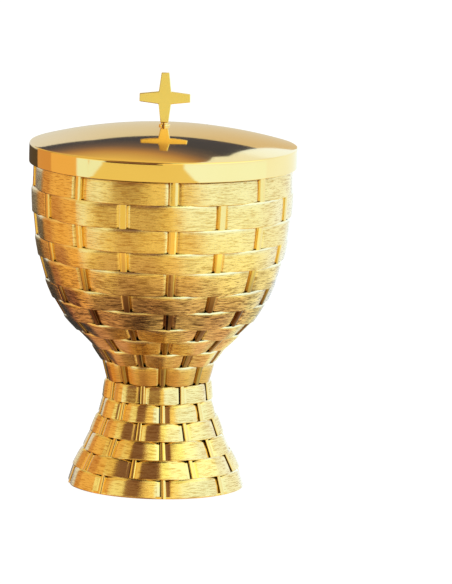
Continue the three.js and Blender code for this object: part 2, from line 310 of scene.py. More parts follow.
for backing, node in ((cup_backing, "cup_shell"), (foot_backing, "foot_shell")):
    backing.data.materials.append(recess_gilt_painted_shade)
    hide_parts(node)
    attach(backing, "cup")


# Woven strips: flat satin strips that run round the vessel, over one stake and under the next.
# Each row is one unbroken hoop, brushed along its length, with rounded edges. It swells where it
# passes over a stake and tucks in on both sides of the stake that it passes under. The rows'
# widths and their lap over each other are in mm, and share out the length of the wall.
STAKES = 16
FIRST_STAKE = math.radians(5.5)
CUP_STRIPS = [9.9, 10.5, 9.8, 8.6, 10.5, 8.3, 8.9, 8.2, 9.2, 7.5, 8.6]
FOOT_STRIPS = [7.6, 7.7, 7.8, 8.1, 8.2, 8.2]
STRIP_LAP = 0.35
FILED_AT = 0.3 * MM
STRIP_HEIGHT = 9 * MM
STRIP_THICKNESS = 0.8 * MM
STRIP_EDGE = 0.4 * MM
STRIP_SHOULDER = 2 * MM
SHOULDER_STEPS = 8
STRIP_CROWN = 0.06 * MM
STRIP_CROWN_FROM = 0.36
STAKE_AT_RIM = 3.6 * MM
STAKE_AT_NECK = 2.4 * MM
STAKE_AT_FOOT = 2.6 * MM
HOOP_RADIUS = 50 * MM
HOOP_STEPS = 24
HOOP_PULL = 0.6
HAND_REACH = 14 * MM
HAND_EDGE = 0.06


def new_tree(name, inputs, output="Geometry"):
    """A geometry tree with named inputs and one output."""
    made = bpy.data.node_groups.new(name, "GeometryNodeTree")
    for label, kind in inputs.items():
        made.interface.new_socket(label, in_out="INPUT", socket_type="NodeSocket" + kind)
    made.interface.new_socket(output, in_out="OUTPUT", socket_type="NodeSocket" + output)
    return made


def named(tree, name):
    """A number that each point carries under a name."""
    return add(tree, "GeometryNodeInputNamedAttribute", {"Name": name}, data_type="FLOAT")


def stored(tree, geometry, name, number):
    """Geometry whose points carry a number under a name."""
    return add(tree, "GeometryNodeStoreNamedAttribute",
               {"Geometry": geometry, "Name": name, "Value": number}, data_type="FLOAT")


def on_curve(tree, wall, share):
    """The place on a wall's curve at a share of its length."""
    return add(tree, "GeometryNodeSampleCurve", {"Curves": wall, "Factor": share},
               use_all_curves=True).outputs["Position"]


def row_here(tree, given, wall):
    """A row's start and width as shares of its wall, the wall's radius, and a stake's width."""
    start, width = named(tree, "start"), named(tree, "width")
    middle = maths(tree, "MULTIPLY_ADD", width, 0.5, start)
    radius = xyz(tree, on_curve(tree, wall, middle))["X"]
    return start, width, radius, ranged(
        tree, middle, to=(given["Stake at top"], given["Stake at bottom"]))


def end_weave(tree, geometry, material, weld=0, **place):
    """Ends a tree with its points moved to their places on a wall, and welded where they meet."""
    target = add(tree, "GeometryNodeGroup", place, node_tree=on_wall)
    target = vectors(tree, "MAXIMUM", target, (-1, -1, FILED_AT))
    bent = add(tree, "GeometryNodeSetPosition", {"Geometry": geometry, "Position": target})
    if weld:
        bent = add(tree, "GeometryNodeMergeByDistance", {"Geometry": bent, "Distance": weld})
    real = add(tree, "GeometryNodeRealizeInstances", {0: bent})
    coated = add(tree, "GeometryNodeSetMaterial", {"Geometry": real, "Material": material})
    add(tree, "NodeGroupOutput", {"Geometry": coated})


# A place on a wall: down a strip's straight chord from its upper edge to its lower one, out
# square to that, and round the axis.
tree = on_wall = new_tree("Place on a wall", {
    "Wall": "Geometry", "Start": "Float", "Width": "Float", "Down": "Float", "Out": "Float",
    "Angle": "Float"}, output="Vector")
given = add(tree, "NodeGroupInput").outputs
end = maths(tree, "ADD", given["Start"], given["Width"])
upper = on_curve(tree, given["Wall"], given["Start"])
lower = on_curve(tree, given["Wall"], end)
chord = vectors(tree, "SUBTRACT", lower, upper)
along = xyz(tree, vectors(tree, "NORMALIZE", chord))
outwards = add(tree, "ShaderNodeCombineXYZ",
               {"X": product(tree, along["Z"], -1), "Z": along["X"]})
stepped = add(tree, "ShaderNodeVectorMath", {0: chord, "Scale": given["Down"]}, operation="SCALE")
lifted = add(tree, "ShaderNodeVectorMath", {0: outwards, "Scale": given["Out"]}, operation="SCALE")
reached = xyz(tree, vectors(tree, "ADD", vectors(tree, "ADD", upper, stepped), lifted))
right = product(tree, reached["X"], maths(tree, "SINE", given["Angle"]))
front = product(tree, reached["X"], maths(tree, "COSINE", given["Angle"]), -1)
place = add(tree, "ShaderNodeCombineXYZ", {"X": right, "Y": front, "Z": reached["Z"]})
add(tree, "NodeGroupOutput", {"Vector": place})

tree = woven_strips = new_tree("Woven strips", {
    "Rows": "Geometry", "Wall": "Object", "Section": "Object", "Section height": "Float",
    "Stakes": "Int", "First stake": "Float", "Swing": "Float", "Tuck": "Float", "Shoulder": "Float",
    "Stake at top": "Float", "Stake at bottom": "Float", "Unevenness": "Float", "Seed": "Int",
    "Material": "Material"})
given = add(tree, "NodeGroupInput").outputs
wall = add(tree, "GeometryNodeObjectInfo", {"Object": given["Wall"]}).outputs["Geometry"]
section = add(tree, "GeometryNodeObjectInfo", {"Object": given["Section"]}).outputs["Geometry"]
steps = product(tree, given["Stakes"], HOOP_STEPS)
hoop = add(tree, "GeometryNodeCurvePrimitiveCircle", {"Resolution": steps, "Radius": HOOP_RADIUS})
swept = add(tree, "GeometryNodeCurveToMesh", {"Curve": hoop, "Profile Curve": section})
hung = add(tree, "GeometryNodeInstanceOnPoints", {"Points": given["Rows"], "Instance": swept})
hoops = add(tree, "GeometryNodeRealizeInstances", {0: hung})
row = named(tree, "row")
start, width, radius, stake = row_here(tree, given, wall)
spot = add(tree, "GeometryNodeInputPosition")
split = xyz(tree, spot)
forward = product(tree, split["Y"], -1)
turn = maths(tree, "ARCTAN2", split["X"], forward)
proud = maths(tree, "SUBTRACT", off_axis(tree, split), HOOP_RADIUS)
# The hoop's points are drawn together at the stakes, where the strip turns most.
wave = maths(tree, "SUBTRACT", turn, given["First stake"])
wave = maths(tree, "SINE", product(tree, wave, given["Stakes"]))
pull = maths(tree, "DIVIDE", HOOP_PULL, given["Stakes"])
angle = maths(tree, "SUBTRACT", turn, product(tree, wave, pull))
# A row's phase is zero at the stakes that show in it, and half a turn at those that it hides.
half_stakes = maths(tree, "DIVIDE", given["Stakes"], 2)
phase = maths(tree, "SUBTRACT", angle, given["First stake"])
phase = product(tree, phase, half_stakes)
phase = maths(tree, "SUBTRACT", phase, product(tree, row, math.pi))
swell = maths(tree, "COSINE", phase)
near = maths(tree, "ARCTAN2", maths(tree, "SINE", phase), swell)
near = maths(tree, "ABSOLUTE", maths(tree, "DIVIDE", near, half_stakes))
beside = product(tree, near, radius)
stake_edge = product(tree, stake, 0.5)
shoulder = maths(tree, "ADD", stake_edge, given["Shoulder"])
tucked = ranged(tree, beside, (stake_edge, shoulder), (given["Tuck"], 0),
                interpolation_type="SMOOTHSTEP")
# Hand work leaves each strip a little uneven, in and out and along its edges.
hand_place = add(tree, "ShaderNodeVectorMath", {0: spot, "Scale": 1 / HAND_REACH},
                 operation="SCALE")
hand_seed = maths(tree, "MULTIPLY_ADD", row, STAKES, given["Seed"])
hand = add(tree, "ShaderNodeTexNoise",
           {"Vector": hand_place, "W": hand_seed, "Scale": 1, "Detail": 1}, noise_dimensions="4D")
hand = xyz(tree, hand.outputs["Color"])
uneven, edge = (product(tree, maths(tree, "SUBTRACT", hand[part], 0.5), most)
                for part, most in (("X", given["Unevenness"]), ("Y", HAND_EDGE)))
out = maths(tree, "SUBTRACT", proud, product(tree, swell, given["Swing"]), tucked)
out = maths(tree, "ADD", out, uneven)
share = maths(tree, "DIVIDE", split["Z"], given["Section height"])
down = maths(tree, "ADD", maths(tree, "SUBTRACT", 0.5, share), edge)
across = maths(tree, "MULTIPLY_ADD", width, down, start)
across = product(tree, across, add(tree, "GeometryNodeCurveLength", {0: wall}))
marked = stored(tree, hoops, "across", across)
marked = stored(tree, marked, "tucked", maths(tree, "DIVIDE", tucked, given["Tuck"]))
marked = stored(tree, marked, "down", down)
end_weave(tree, marked, given["Material"], Wall=wall, Start=start, Width=width, Down=down,
          Out=out, Angle=angle)


def wall_curve(name, curves):
    """A wall as a curve in the XZ plane, which is radius and height."""
    data = bpy.data.curves.new(name, "CURVE")
    data.dimensions = "3D"
    data.resolution_u = 4 * WALL_STEPS
    spline = data.splines.new("BEZIER")
    spline.bezier_points.add(len(curves))
    ends = [curves[0][0]] + [handles[3] for handles in curves]
    for index, point in enumerate(spline.bezier_points):
        before = curves[index - 1][2] if index else ends[0]
        after = curves[index][1] if index < len(curves) else ends[-1]
        point.co = (ends[index][0], 0, ends[index][1])
        point.handle_left_type = point.handle_right_type = "FREE"
        point.handle_left = (before[0], 0, before[1])
        point.handle_right = (after[0], 0, after[1])
    return linked(name, data)


def section_curve(name, outline):
    """A closed section, whose first number is across the hoop and second along its axis."""
    data = bpy.data.curves.new(name, "CURVE")
    data.dimensions = "3D"
    spline = data.splines.new("POLY")
    spline.points.add(len(outline) - 1)
    for point, (proud_by, along_by) in zip(spline.points, outline):
        point.co = (proud_by, along_by, 0, 1)
    spline.use_cyclic_u = True
    return linked(name, data)


def rows(name, widths, first_row):
    """A point for each row of the weave, with its number, and its start and width as shares."""
    mesh = bpy.data.meshes.new(name)
    mesh.from_pydata([(0, 0, 0)] * len(widths), [], [])
    total = sum(widths)
    values = {
        "row": [first_row + index for index in range(len(widths))],
        "start": [(sum(widths[:index]) - STRIP_LAP / 2) / total for index in range(len(widths))],
        "width": [(width_mm + STRIP_LAP) / total for width_mm in widths],
    }
    for label, numbers in values.items():
        mesh.attributes.new(label, "FLOAT", "POINT").data.foreach_set("value", numbers)
    return mesh


def grown(name, source, geometry_tree, values):
    """A plain mesh object from a tree that grows on a mesh, with the tree's inputs by name."""
    host = linked(name + "_host", source)
    modifier = host.modifiers.new(geometry_tree.name, "NODES")
    modifier.node_group = geometry_tree
    sockets = {item.name: item.identifier for item in geometry_tree.interface.items_tree
               if item.in_out == "INPUT"}
    for label, value in values.items():
        modifier[sockets[label]] = value
    evaluated = host.evaluated_get(bpy.context.evaluated_depsgraph_get())
    mesh = bpy.data.meshes.new_from_object(evaluated)
    mesh.name = name
    bpy.data.objects.remove(host)
    return finished(name, mesh)


# Satin-brushed gilding: gold plate over brass that was drawn over a fine abrasive belt along each
# strip. It mirrors sideways and smears upright, and its scratches hold a brown tone. The real
# scratches are finer than the picture shows, so they are drawn at about 0.4 mm.
SCRATCH_APART = 0.42 * MM
SCRATCH_LENGTH = 4.5 * MM
SCRATCH_PATCH = 9 * MM
# Painted shade darkens the strips under the bowl, at the neck and under the stakes, and a painted
# highlight runs along their top edges; these heights and shares place them.
SHADED_UNDER_BOWL = (105 * MM, 78 * MM)
NECK_JOIN = 45 * MM
FOOT_DULLED = (NECK_JOIN - 6 * MM, NECK_JOIN)
NECK_OPEN = (60 * MM, 76 * MM)
NECK_SHADED = (56 * MM, 50 * MM)
SHADED_UNDER_STAKE = (0.98, 0.997)
UNDER_BOWL_SHADE_SPREAD = 0.08
TOP_EDGE_HIGHLIGHT = (0.04, 0.1)
FOOT_GLOSS = 0.7
satin_gilt, tree, place = new_metal("satin-brushed gilding")
patch = noise(tree, place, SCRATCH_PATCH, 2)
place = xyz(tree, place)
across = add(tree, "ShaderNodeAttribute", attribute_name="across").outputs["Fac"]
around_x = product(tree, place["X"], 1 / SCRATCH_LENGTH)
around_y = product(tree, place["Y"], 1 / SCRATCH_LENGTH)
fine = product(tree, across, 1 / SCRATCH_APART)
lines = add(tree, "ShaderNodeCombineXYZ", {"X": around_x, "Y": around_y, "Z": fine})
scratch = add(tree, "ShaderNodeTexNoise",
              {"Vector": lines, "Scale": 1, "Detail": 4, "Roughness": 0.75})
tucked = add(tree, "ShaderNodeAttribute", attribute_name="tucked").outputs["Fac"]
worn = maths(tree, "MAXIMUM", scratch, tucked)
often = ranged(tree, patch, (0.35, 0.65), (0.46, 0.56))
# Painted shade under the bowl: from the bowl's widest part down, the scratches turn dark brown and
# cover more of each strip, easing off towards the neck.
clear = ranged(tree, place["Z"], NECK_OPEN, (0.2, 1))
on_cup = maths(tree, "GREATER_THAN", place["Z"], NECK_JOIN)
strip_shade_under_bowl = product(tree, ranged(tree, place["Z"], SHADED_UNDER_BOWL), clear, on_cup)
often = maths(tree, "MULTIPLY_ADD", strip_shade_under_bowl, UNDER_BOWL_SHADE_SPREAD, often)
depth = ranged(tree, worn, (0.4, often))
# The scratches' own brown tone, darkened under the bowl as painted shade.
scratch_brown_and_shade = blended(tree, strip_shade_under_bowl, "#D8AC60", "#5A3C24")
clean = blended(tree, strip_shade_under_bowl, "#FCDE96", "#FFDA96")
# Painted shade at the neck: the unscratched tone darkens on the cup's lowest rows, under the bowl.
neck_shade = product(tree, ranged(tree, place["Z"], NECK_SHADED), on_cup)
clean = blended(tree, neck_shade, clean, "#E4B46C")
tone = blended(tree, depth, scratch_brown_and_shade, clean)
down = add(tree, "ShaderNodeAttribute", attribute_name="down").outputs["Fac"]
# Painted highlight: a pale line along each strip's top edge.
mottle_and_edge_highlight = ranged(tree, down, TOP_EDGE_HIGHLIGHT, (0.9, 0))
tone = blended(tree, mottle_and_edge_highlight, tone, "#FFF0C0")
# Painted shade: a near-black brown where a strip runs under a stake.
strip_shade_under_stake = ranged(tree, tucked, SHADED_UNDER_STAKE)
tone = blended(tree, strip_shade_under_stake, tone, "#38281A")
rough = ranged(tree, tucked, to=(0.22, 0.13))
buffed = ranged(tree, place["Z"], FOOT_DULLED, (FOOT_GLOSS, 1))
rough = product(tree, rough, buffed)
relief = product(tree, maths(tree, "SUBTRACT", 1, tucked), buffed)
bump = bumped(tree, scratch, relief, 0.06 * MM)
tangent = add(tree, "ShaderNodeTangent", direction_type="RADIAL", axis="Z")
end_metal(tree, tone, rough, bump, **{
    "Anisotropic": 0.95, "Anisotropic Rotation": 0.25, "Tangent": tangent})

shoulder_turns = [math.pi / 2 * step / SHOULDER_STEPS for step in range(SHOULDER_STEPS + 1)]
strip_section = section_curve("strip_section", softened([
    (0, STRIP_HEIGHT / 2, STRIP_EDGE),
    (-STRIP_THICKNESS, STRIP_HEIGHT / 2),
    *[(-STRIP_THICKNESS * (1 - math.sin(turn)),
       STRIP_SHOULDER * (1 - math.cos(turn)) - STRIP_HEIGHT / 2)
      for turn in shoulder_turns],
    (STRIP_CROWN, 0),
    (0, STRIP_CROWN_FROM * STRIP_HEIGHT),
]))
weave = {
    "Stakes": STAKES, "First stake": FIRST_STAKE, "Section": strip_section,
    "Section height": STRIP_HEIGHT, "Swing": 0.6 * MM, "Tuck": 0.6 * MM, "Shoulder": 1.2 * MM,
    "Unevenness": 0.3 * MM, "Seed": 3, "Material": satin_gilt,
}
cup_wall = wall_curve("cup_wall", CUP_WALL)
foot_wall = wall_curve("foot_wall", FOOT_WALL)
cup_rows = rows("cup_rows", CUP_STRIPS, 0)
foot_rows = rows("foot_rows", FOOT_STRIPS, len(CUP_STRIPS))
cup_sizes = {"Wall": cup_wall, "Stake at top": STAKE_AT_RIM, "Stake at bottom": STAKE_AT_NECK}
foot_sizes = {"Wall": foot_wall, "Stake at top": STAKE_AT_NECK, "Stake at bottom": STAKE_AT_FOOT}
cup_strips = grown("cup_strips", cup_rows, woven_strips, {**weave, **cup_sizes})
foot_strips = grown("foot_strips", foot_rows, woven_strips, {
    **weave, **foot_sizes, "Tuck": 0.4 * MM, "Shoulder": 2.2 * MM})
for woven in (cup_strips, foot_strips):
    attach(woven, "cup")
bpy.data.objects.remove(strip_section)


# Stakes: polished upright bars that the strips pass over and under. Each stretch that shows is a
# rounded pillow, which dips under the strips above and below it.
STAKE_THICKNESS = 1.0 * MM
STAKE_CREST = 0.1 * MM
STAKE_UNDER = 0.14
STAKE_RINGS = 17
STAKE_ROUND = 24
STAKE_FLATTENED = 0.38
STAKE_TAPER = 14
STAKE_SLOT = 0.3 * MM

tree = woven_stakes = new_tree("Woven stakes", {
    "Rows": "Geometry", "Wall": "Object", "Stakes": "Int", "First stake": "Float",
    "Crest": "Float", "Thickness": "Float", "Stake at top": "Float", "Stake at bottom": "Float",
    "Under": "Float", "Aside": "Float", "Unevenness": "Float", "Seed": "Int",
    "Material": "Material"})
given = add(tree, "NodeGroupInput").outputs
wall = add(tree, "GeometryNodeObjectInfo", {"Object": given["Wall"]}).outputs["Geometry"]
shown = maths(tree, "DIVIDE", given["Stakes"], 2)
copies = add(tree, "GeometryNodeDuplicateElements",
             {"Geometry": given["Rows"], "Amount": shown}, domain="POINT")
row = named(tree, "row")
odd = maths(tree, "MODULO", row, 2)
number = maths(tree, "MULTIPLY_ADD", copies.outputs["Duplicate Index"], 2, odd)
numbered = stored(tree, copies.outputs["Geometry"], "stake", number)
upright = add(tree, "GeometryNodeCurvePrimitiveLine", {"Start": (0, 0, 1), "End": (0, 0, -1)})
upright = add(tree, "GeometryNodeResampleCurve", {"Curve": upright, "Count": STAKE_RINGS})
round_bar = add(tree, "GeometryNodeCurvePrimitiveCircle", {"Resolution": STAKE_ROUND, "Radius": 1})
bar = add(tree, "GeometryNodeCurveToMesh",
          {"Curve": upright, "Profile Curve": round_bar, "Fill Caps": True})
stood = add(tree, "GeometryNodeInstanceOnPoints", {"Points": numbered, "Instance": bar})
bars = add(tree, "GeometryNodeRealizeInstances", {0: stood})
start, width, radius, broad = row_here(tree, given, wall)
stake = named(tree, "stake")
spot = xyz(tree, add(tree, "GeometryNodeInputPosition"))
# The rings close up towards both ends, where the bar thins to a rounded point.
ends = maths(tree, "SINE", product(tree, spot["Z"], math.pi / 2))
thin = maths(tree, "SQRT", maths(tree, "SUBTRACT", 1, maths(tree, "POWER", ends, STAKE_TAPER)))
half = product(tree, maths(tree, "DIVIDE", broad, radius), 0.5)
sideways = product(tree, spot["X"], half, thin)
apart = maths(tree, "DIVIDE", 2 * math.pi, given["Stakes"])
stood_at = maths(tree, "MULTIPLY_ADD", stake, apart, given["First stake"])
hand_id = maths(tree, "MULTIPLY_ADD", row, STAKES, stake)
leaning = add(tree, "FunctionNodeRandomValue",
              {"Min": -1.0, "Max": 1.0, "ID": hand_id, "Seed": given["Seed"]})
leaning = product(tree, leaning.outputs["Value"], given["Unevenness"])
leaning = product(tree, maths(tree, "DIVIDE", leaning, radius), ends)
shifted = maths(tree, "DIVIDE", given["Aside"], radius)
angle = maths(tree, "ADD", stood_at, shifted, sideways, leaning)
# The bar's round section is pressed flat on top, with steep rounded sides.
side = maths(tree, "SIGN", spot["Y"])
pressed = maths(tree, "POWER", maths(tree, "ABSOLUTE", spot["Y"]), STAKE_FLATTENED)
deep = product(tree, pressed, side, given["Thickness"], thin)
heart = maths(tree, "SUBTRACT", given["Crest"], given["Thickness"])
out = maths(tree, "ADD", heart, deep)
down = product(tree, ends, maths(tree, "ADD", given["Under"], 0.5))
down = maths(tree, "SUBTRACT", 0.5, down)
marked = stored(tree, bars, "flank", spot["X"])
end_weave(tree, marked, given["Material"], weld=0.005 * MM, Wall=wall, Start=start, Width=width,
          Down=down, Out=out, Angle=angle)

# Polished gilding on the stakes: buffed by hand, so it mirrors softly and unevenly. Under the bowl
# the stakes are painted brown for the shade there, and on the foot each stake's left flank is
# painted near-black for the shade beside it.
BUFF_SPOT = 1.6 * MM
SHADED_LEFT_FLANK = (-0.98, -0.95)
polished_stake, tree, place = new_metal("hand-buffed gilding")
buff = noise(tree, place, BUFF_SPOT, 2)
rough = ranged(tree, buff, NOISE_SPAN, (0.08, 0.2))
tone = blended(tree, buff, "#F7CF7A", "#FBDA8C")
level = xyz(tree, place)["Z"]
on_cup = maths(tree, "GREATER_THAN", level, NECK_JOIN)
clear = ranged(tree, level, NECK_OPEN, (0.7, 1))
# Painted shade under the bowl, easing off towards the neck.
stake_shade_under_bowl = product(tree, ranged(tree, level, SHADED_UNDER_BOWL), on_cup, clear)
tone = blended(tree, stake_shade_under_bowl, tone, "#6E4C30")
flank = add(tree, "ShaderNodeAttribute", attribute_name="flank").outputs["Fac"]
on_foot = maths(tree, "LESS_THAN", level, NECK_JOIN)
# Painted shade: on the foot, each stake's left flank is near-black, the side turned from the light.
left_flank_shade = product(tree, ranged(tree, flank, SHADED_LEFT_FLANK, (1, 0)), on_foot)
tone = blended(tree, left_flank_shade, tone, "#38281A")
bump = bumped(tree, buff, 0.6, 0.04 * MM)
end_metal(tree, tone, rough, bump)

uprights = {
    "Stakes": STAKES, "First stake": FIRST_STAKE, "Crest": STAKE_CREST,
    "Thickness": STAKE_THICKNESS, "Under": STAKE_UNDER, "Unevenness": 0.12 * MM, "Seed": 11,
    "Material": polished_stake,
}
cup_stakes = grown("cup_stakes", cup_rows, woven_stakes, {**uprights, **cup_sizes})
foot_stakes = grown("foot_stakes", foot_rows, woven_stakes, {
    **uprights, "Wall": foot_wall, "Crest": -0.2 * MM, "Aside": 0.25 * MM,
    "Stake at top": STAKE_AT_NECK - STAKE_SLOT, "Stake at bottom": STAKE_AT_FOOT - STAKE_SLOT})
for woven in (cup_stakes, foot_stakes):
    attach(woven, "cup")
for guide in (cup_wall, foot_wall):
    bpy.data.objects.remove(guide)


# Foot rim: the plain narrow edge under the last row of the weave that the vessel stands on, filed
# flat and buffed with the stakes.
foot_rim = turned("foot_rim", [
    (FOOT_BASE_RADIUS - BACKING_INSIDE, 0),
    (FOOT_BASE_RADIUS, 0, EDGE),
    (FOOT_BASE_RADIUS + 0.2 * MM, FOOT_RIM, EDGE),
    (FOOT_BASE_RADIUS - BACKING_INSIDE, FOOT_RIM),
])
foot_rim.data.materials.append(polished_stake)
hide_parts("foot_shell")
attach(foot_rim, "cup")


# Tie rod, neck boss, washer and nut: plain turned brass that draws the cup down on its foot. The
# rod is threaded M6 from end to end, the boss is brazed to the cup's floor, and the nut turns up
# against its washer under the foot.
THREAD_PITCH = 1 * MM
THREAD_DEPTH = 0.35 * MM
THREAD_STEPS = 8
THREAD_FLANK = 1.25
THREAD_CREST = 0.125
THREAD_GAP = 0.15 * MM
SMALL_SEGMENTS = 64
NUT_SIDE_STEPS = 8
NUT_CHAMFER = 0.12


def threaded_rod(name, outer, low, high, pitch, depth, top_head=()):
    """A rod with a helical thread. The head is an outline that goes on from the thread's top."""
    shape = bmesh.new()
    count = round((high - low) / pitch * THREAD_STEPS)
    angles = around(SMALL_SEGMENTS)
    rings = []
    for level in range(count + 1):
        height = low + (high - low) * level / count
        inwards = depth * max(0, 1 - min(height - low, high - height) / pitch)
        rings.append([])
        for angle in angles:
            flank = abs(((height - low) / pitch - angle / (2 * math.pi)) % 1 * 2 - 1)
            cut = min(1, max(0, flank * THREAD_FLANK - THREAD_CREST))
            rings[-1] += ring(shape, outer - max(inwards, depth * cut), height, [angle])
    rings += [ring(shape, radius, height, angles) for radius, height in top_head]
    bridge(shape, zip(rings, rings[1:]))
    shape.faces.new(rings[0])
    shape.faces.new(rings[-1])
    return shaped(name, shape, sharp=50)


def hex_nut(name, across_flats, low, high, bore, cap=()):
    """A hexagonal nut, chamfered at its corners, with a plain bore. A cap closes its lower end."""
    shape = bmesh.new()
    angles = around(6 * NUT_SIDE_STEPS)
    chamfer = NUT_CHAMFER * across_flats
    corner = across_flats / math.sqrt(3)
    rings = []
    for limit, height in ((corner - chamfer, low), (corner, low + chamfer / 2),
                          (corner, high - chamfer / 2), (corner - chamfer, high)):
        rings.append([])
        for angle in angles:
            side = (angle + math.pi / 6) % (math.pi / 3) - math.pi / 6
            radius = min(across_flats / 2 / math.cos(side), limit)
            rings[-1] += ring(shape, radius, height, [angle])
    rings += [ring(shape, bore, height, angles) for height in (high, low)]
    if cap:
        shape.faces.new(rings[-1])
        for radius, height in cap:
            rings.insert(0, ring(shape, radius, height, angles))
        shape.faces.new(rings[0])
    bridge(shape, [*zip(rings, rings[1:]), *([] if cap else [(rings[-1], rings[0])])])
    return shaped(name, shape, sharp=25)


def tool_rings(tree, place, rise, apart, detail):
    """Noise in the rings that a tool leaves round a turned piece."""
    split = xyz(tree, place)
    reach = maths(tree, rise, off_axis(tree, split), split["Z"])
    return add(tree, "ShaderNodeTexNoise", {
        "W": product(tree, reach, 1 / apart), "Scale": 1, "Detail": detail},
        noise_dimensions="1D")


# Turned brass: bare metal from the lathe, with fine tool rings and a dull yellow-brown tone.
TOOL_RING = 0.3 * MM
BRASS_CLOUD = 6 * MM
turned_brass, tree, place = new_metal("turned bare brass")
cuts = tool_rings(tree, place, "ADD", TOOL_RING, 2)
cloud = noise(tree, place, BRASS_CLOUD, 4)
tone = blended(tree, cloud, "#B88E45", "#D9B56A")
rough = ranged(tree, cloud, to=(0.25, 0.45))
bump = bumped(tree, cuts, 0.4, 0.03 * MM)
end_metal(tree, tone, rough, bump)

rod_low, rod_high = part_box("tie_rod")
tie_rod = threaded_rod("tie_rod_threaded", rod_high.x, rod_low.z, rod_high.z, THREAD_PITCH,
                       THREAD_DEPTH)
boss_low, boss_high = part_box("neck_boss")
neck_boss = turned("neck_boss_turned", [
    (rod_high.x + THREAD_GAP, boss_low.z),
    (boss_high.x, boss_low.z, EDGE),
    (boss_high.x, boss_high.z, EDGE),
    (rod_high.x + THREAD_GAP, boss_high.z, EDGE),
])
washer_low, washer_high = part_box("foot_washer")
foot_washer = turned("foot_washer_turned", [
    (ROD_HOLE, washer_low.z),
    (washer_high.x, washer_low.z, EDGE),
    (washer_high.x, washer_high.z, EDGE),
    (ROD_HOLE, washer_high.z),
])
nut_low, nut_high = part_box("foot_nut")
foot_nut = hex_nut("foot_nut_hex", min(nut_high.x - nut_low.x, nut_high.y - nut_low.y),
                   nut_low.z, nut_high.z, rod_high.x + THREAD_GAP)
for piece, node in ((tie_rod, "tie_rod"), (neck_boss, "neck_boss"), (foot_washer, "foot_washer"),
                    (foot_nut, "foot_nut")):
    piece.data.materials.append(turned_brass)
    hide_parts(node)
    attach(piece, "cup")


# Liner: a smooth spun cup that holds the hosts, hung in the shell by a lip turned over its rim.
# It is gilt inside and out, and satin from the spinning.
WOVEN_WALL = 2.1 * MM
LINER_GAP = 0.4 * MM
LINER_WALL = 0.8 * MM
LINER_FLOOR = 59.2 * MM
LINER_TURN = 36
LINER_FLOOR_STEPS = 16


def liner_floor(inset, floor):
    """The round floor of the liner, from the axis out to its wall."""
    points = wall_points(CUP_WALL, inset)
    foot_point, slope = Vector(points[LINER_TURN]), Vector(points[LINER_TURN + 1])
    slope = (slope - foot_point).normalized()
    drop = (foot_point.y - floor) / -slope.y
    knee = Vector((foot_point.x + drop * slope.x, floor))
    centre = Vector((0, floor))
    made = []
    for step in range(LINER_FLOOR_STEPS):
        t = step / LINER_FLOOR_STEPS
        made.append(tuple((1 - t) ** 2 * centre + 2 * t * (1 - t) * knee + t ** 2 * foot_point))
    return made, points


liner_low, liner_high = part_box("cup_liner")
outside, outer_points = liner_floor(WOVEN_WALL + LINER_GAP, LINER_FLOOR)
inside, inner_points = liner_floor(WOVEN_WALL + LINER_GAP + LINER_WALL, LINER_FLOOR + LINER_WALL)
outer_top = rim_radius - WOVEN_WALL - LINER_GAP
lip_low = rim_top + 0.1 * MM
cup_liner = turned("cup_liner_spun", [
    *outside,
    *reversed(outer_points[1:LINER_TURN + 1]),
    (outer_top, lip_low, FINE_EDGE),
    (rim_radius, lip_low, EDGE),
    (rim_radius, liner_high.z, 0.35 * MM),
    (outer_top - LINER_WALL, liner_high.z, 0.45 * MM),
    *inner_points[1:LINER_TURN + 1],
    *reversed(inside),
])

# Spun gilding: smooth gold plate over faint spinning lines that run round the piece.
SPIN_LINE = 0.5 * MM
spun_gilt, tree, place = new_metal("spun satin gilding")
spin = tool_rings(tree, place, "SUBTRACT", SPIN_LINE, 3)
rough = ranged(tree, spin, NOISE_SPAN, (0.16, 0.28))
tone = blended(tree, spin, "#F6CE7C", "#FBDA90")
bump = bumped(tree, spin, 0.3, 0.02 * MM)
end_metal(tree, tone, rough, bump)
cup_liner.data.materials.append(spun_gilt)
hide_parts("cup_liner")
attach(cup_liner, "cup")


# Lid: a shallow dome spun in one with its plain skirt, gilt and buffed to a mirror. A short ring
# brazed underneath centres it in the liner's mouth.
DOME_TOP = 152.1 * MM
DOME_BEND = 204 * MM
LID_WALL = 1 * MM
LID_EDGE = 0.7 * MM
SKIRT_SWELL = 0.06 * MM
DOME_STEPS = 48
POST_HOLE = 1.8 * MM
LID_WASHER_RADIUS = 4.5 * MM


def dome_height(radius, depth=0):
    """The height of the dome at a radius, a depth below its outer face."""
    return DOME_TOP - DOME_BEND + math.sqrt((DOME_BEND - depth) ** 2 - radius ** 2)


def dome_arc(start_radius, end_radius, depth=0):
    """Points along the dome from one radius to another."""
    reaches = [start_radius + (end_radius - start_radius) * step / DOME_STEPS
               for step in range(DOME_STEPS + 1)]
    return [(reach_out, dome_height(reach_out, depth)) for reach_out in reaches]


SKIRT_SHARES = [step / 8 for step in range(1, 8)]
lid_low, lid_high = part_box("lid_shell")
lid_radius = lid_high.x
seat = dome_height(LID_WASHER_RADIUS, LID_WALL)
lid_dome = turned("lid_dome", [
    (lid_radius - SKIRT_SWELL, lid_low.z, 0.25 * MM),
    *[(lid_radius - SKIRT_SWELL * (2 * share - 1) ** 2,
       lid_low.z + share * (dome_height(lid_radius) - lid_low.z)) for share in SKIRT_SHARES],
    (lid_radius - SKIRT_SWELL, dome_height(lid_radius), LID_EDGE),
    *dome_arc(lid_radius - 2 * LID_EDGE, POST_HOLE),
    (POST_HOLE, seat),
    *dome_arc(LID_WASHER_RADIUS, lid_radius - 2 * LID_WALL, LID_WALL),
    (lid_radius - LID_WALL, dome_height(lid_radius - LID_WALL, LID_WALL), EDGE),
    (lid_radius - LID_WALL, lid_low.z, FINE_EDGE),
], segments=256)

